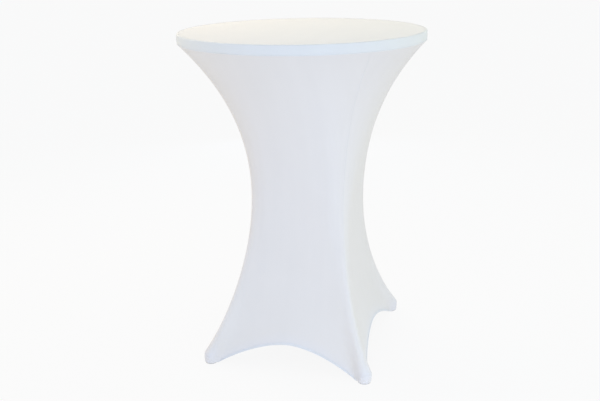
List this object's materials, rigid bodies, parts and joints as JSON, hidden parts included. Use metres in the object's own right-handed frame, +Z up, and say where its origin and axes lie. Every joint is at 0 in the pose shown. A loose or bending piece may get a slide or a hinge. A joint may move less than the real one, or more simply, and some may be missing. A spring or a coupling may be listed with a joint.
{
  "type": "high table with fitted stretch tablecloth",
  "caption": "Round high table under a tight white stretch cover that narrows to a waist and arches between foot pockets, on a pedestal with levelling glides.",
  "frame": {"origin": "on the floor, under the middle of the column", "axes": "+Z up along the column; the feet stand on the diagonals of X and Y"},
  "size_m": [0.8025, 0.8026, 1.101],
  "materials": {
    "stretch_cloth": "white elastane knit, stretched, faint sheen",
    "seam_thread": "white sewing thread",
    "seam_tape": "white knitted binding",
    "sole_cloth": "doubled white woven patch",
    "board": "raw chipboard underside",
    "edge_plastic": "moulded edge band",
    "powder_coat": "fine-textured light grey powder coat",
    "zinc": "bright zinc plate",
    "glide_plastic": "black moulded nylon"
  },
  "bodies": {
    "table": {"tabletop_board": "board", "edge_band": "edge_plastic", "mounting_spider": "powder_coat", "spider_screws": "zinc", "column_tube": "powder_coat", "tie_rod": "zinc", "tie_rod_washer": "zinc", "tie_rod_nut": "zinc", "base_hub": "powder_coat", "base_arm_1": "powder_coat", "base_arm_2": "powder_coat", "base_arm_3": "powder_coat", "base_arm_4": "powder_coat", "glide_inserts": "zinc", "top_panel": "stretch_cloth", "rim_band": "stretch_cloth", "top_rim_seam": "seam_thread", "lower_rim_seam": "seam_thread", "skirt_panel_front": "stretch_cloth", "skirt_panel_right": "stretch_cloth", "skirt_panel_back": "stretch_cloth", "skirt_panel_left": "stretch_cloth", "seam_tape_1": "seam_tape", "seam_tape_2": "seam_tape", "seam_tape_3": "seam_tape", "seam_tape_4": "seam_tape", "hem_front": "stretch_cloth", "hem_right": "stretch_cloth", "hem_back": "stretch_cloth", "hem_left": "stretch_cloth", "foot_pocket_1": "stretch_cloth", "foot_pocket_2": "stretch_cloth", "foot_pocket_3": "stretch_cloth", "foot_pocket_4": "stretch_cloth"},
    "glide_1": {"glide_pad_1": "glide_plastic", "pocket_sole_1": "sole_cloth"},
    "stem_1": {"glide_stem_1": "zinc"},
    "glide_2": {"glide_pad_2": "glide_plastic", "pocket_sole_2": "sole_cloth"},
    "stem_2": {"glide_stem_2": "zinc"},
    "glide_3": {"glide_pad_3": "glide_plastic", "pocket_sole_3": "sole_cloth"},
    "stem_3": {"glide_stem_3": "zinc"},
    "glide_4": {"glide_pad_4": "glide_plastic", "pocket_sole_4": "sole_cloth"},
    "stem_4": {"glide_stem_4": "zinc"}
  },
  "joints": [
    {"name": "glide_travel_1", "type": "slide", "parent": "table", "child": "glide_1", "axis": [0, 0, -1], "range_m": [0, 0.01]},
    {"name": "stem_turn_1", "type": "hinge", "parent": "glide_1", "child": "stem_1", "pos_m": [0.26799, -0.26799, 0.02], "axis": [0, 0, -1], "range_deg": [0, 2400]},
    {"name": "glide_travel_2", "type": "slide", "parent": "table", "child": "glide_2", "axis": [0, 0, -1], "range_m": [0, 0.01]},
    {"name": "stem_turn_2", "type": "hinge", "parent": "glide_2", "child": "stem_2", "pos_m": [0.26799, 0.26799, 0.02], "axis": [0, 0, -1], "range_deg": [0, 2400]},
    {"name": "glide_travel_3", "type": "slide", "parent": "table", "child": "glide_3", "axis": [0, 0, -1], "range_m": [0, 0.01]},
    {"name": "stem_turn_3", "type": "hinge", "parent": "glide_3", "child": "stem_3", "pos_m": [-0.26799, 0.26799, 0.02], "axis": [0, 0, -1], "range_deg": [0, 2400]},
    {"name": "glide_travel_4", "type": "slide", "parent": "table", "child": "glide_4", "axis": [0, 0, -1], "range_m": [0, 0.01]},
    {"name": "stem_turn_4", "type": "hinge", "parent": "glide_4", "child": "stem_4", "pos_m": [-0.26799, -0.26799, 0.02], "axis": [0, 0, -1], "range_deg": [0, 2400]}
  ],
  "couplings": [
    {"joint": "stem_turn_1", "follows": "glide_travel_1", "rad_per_m": 4188.8},
    {"joint": "stem_turn_2", "follows": "glide_travel_2", "rad_per_m": 4188.8},
    {"joint": "stem_turn_3", "follows": "glide_travel_3", "rad_per_m": 4188.8},
    {"joint": "stem_turn_4", "follows": "glide_travel_4", "rad_per_m": 4188.8}
  ]
}
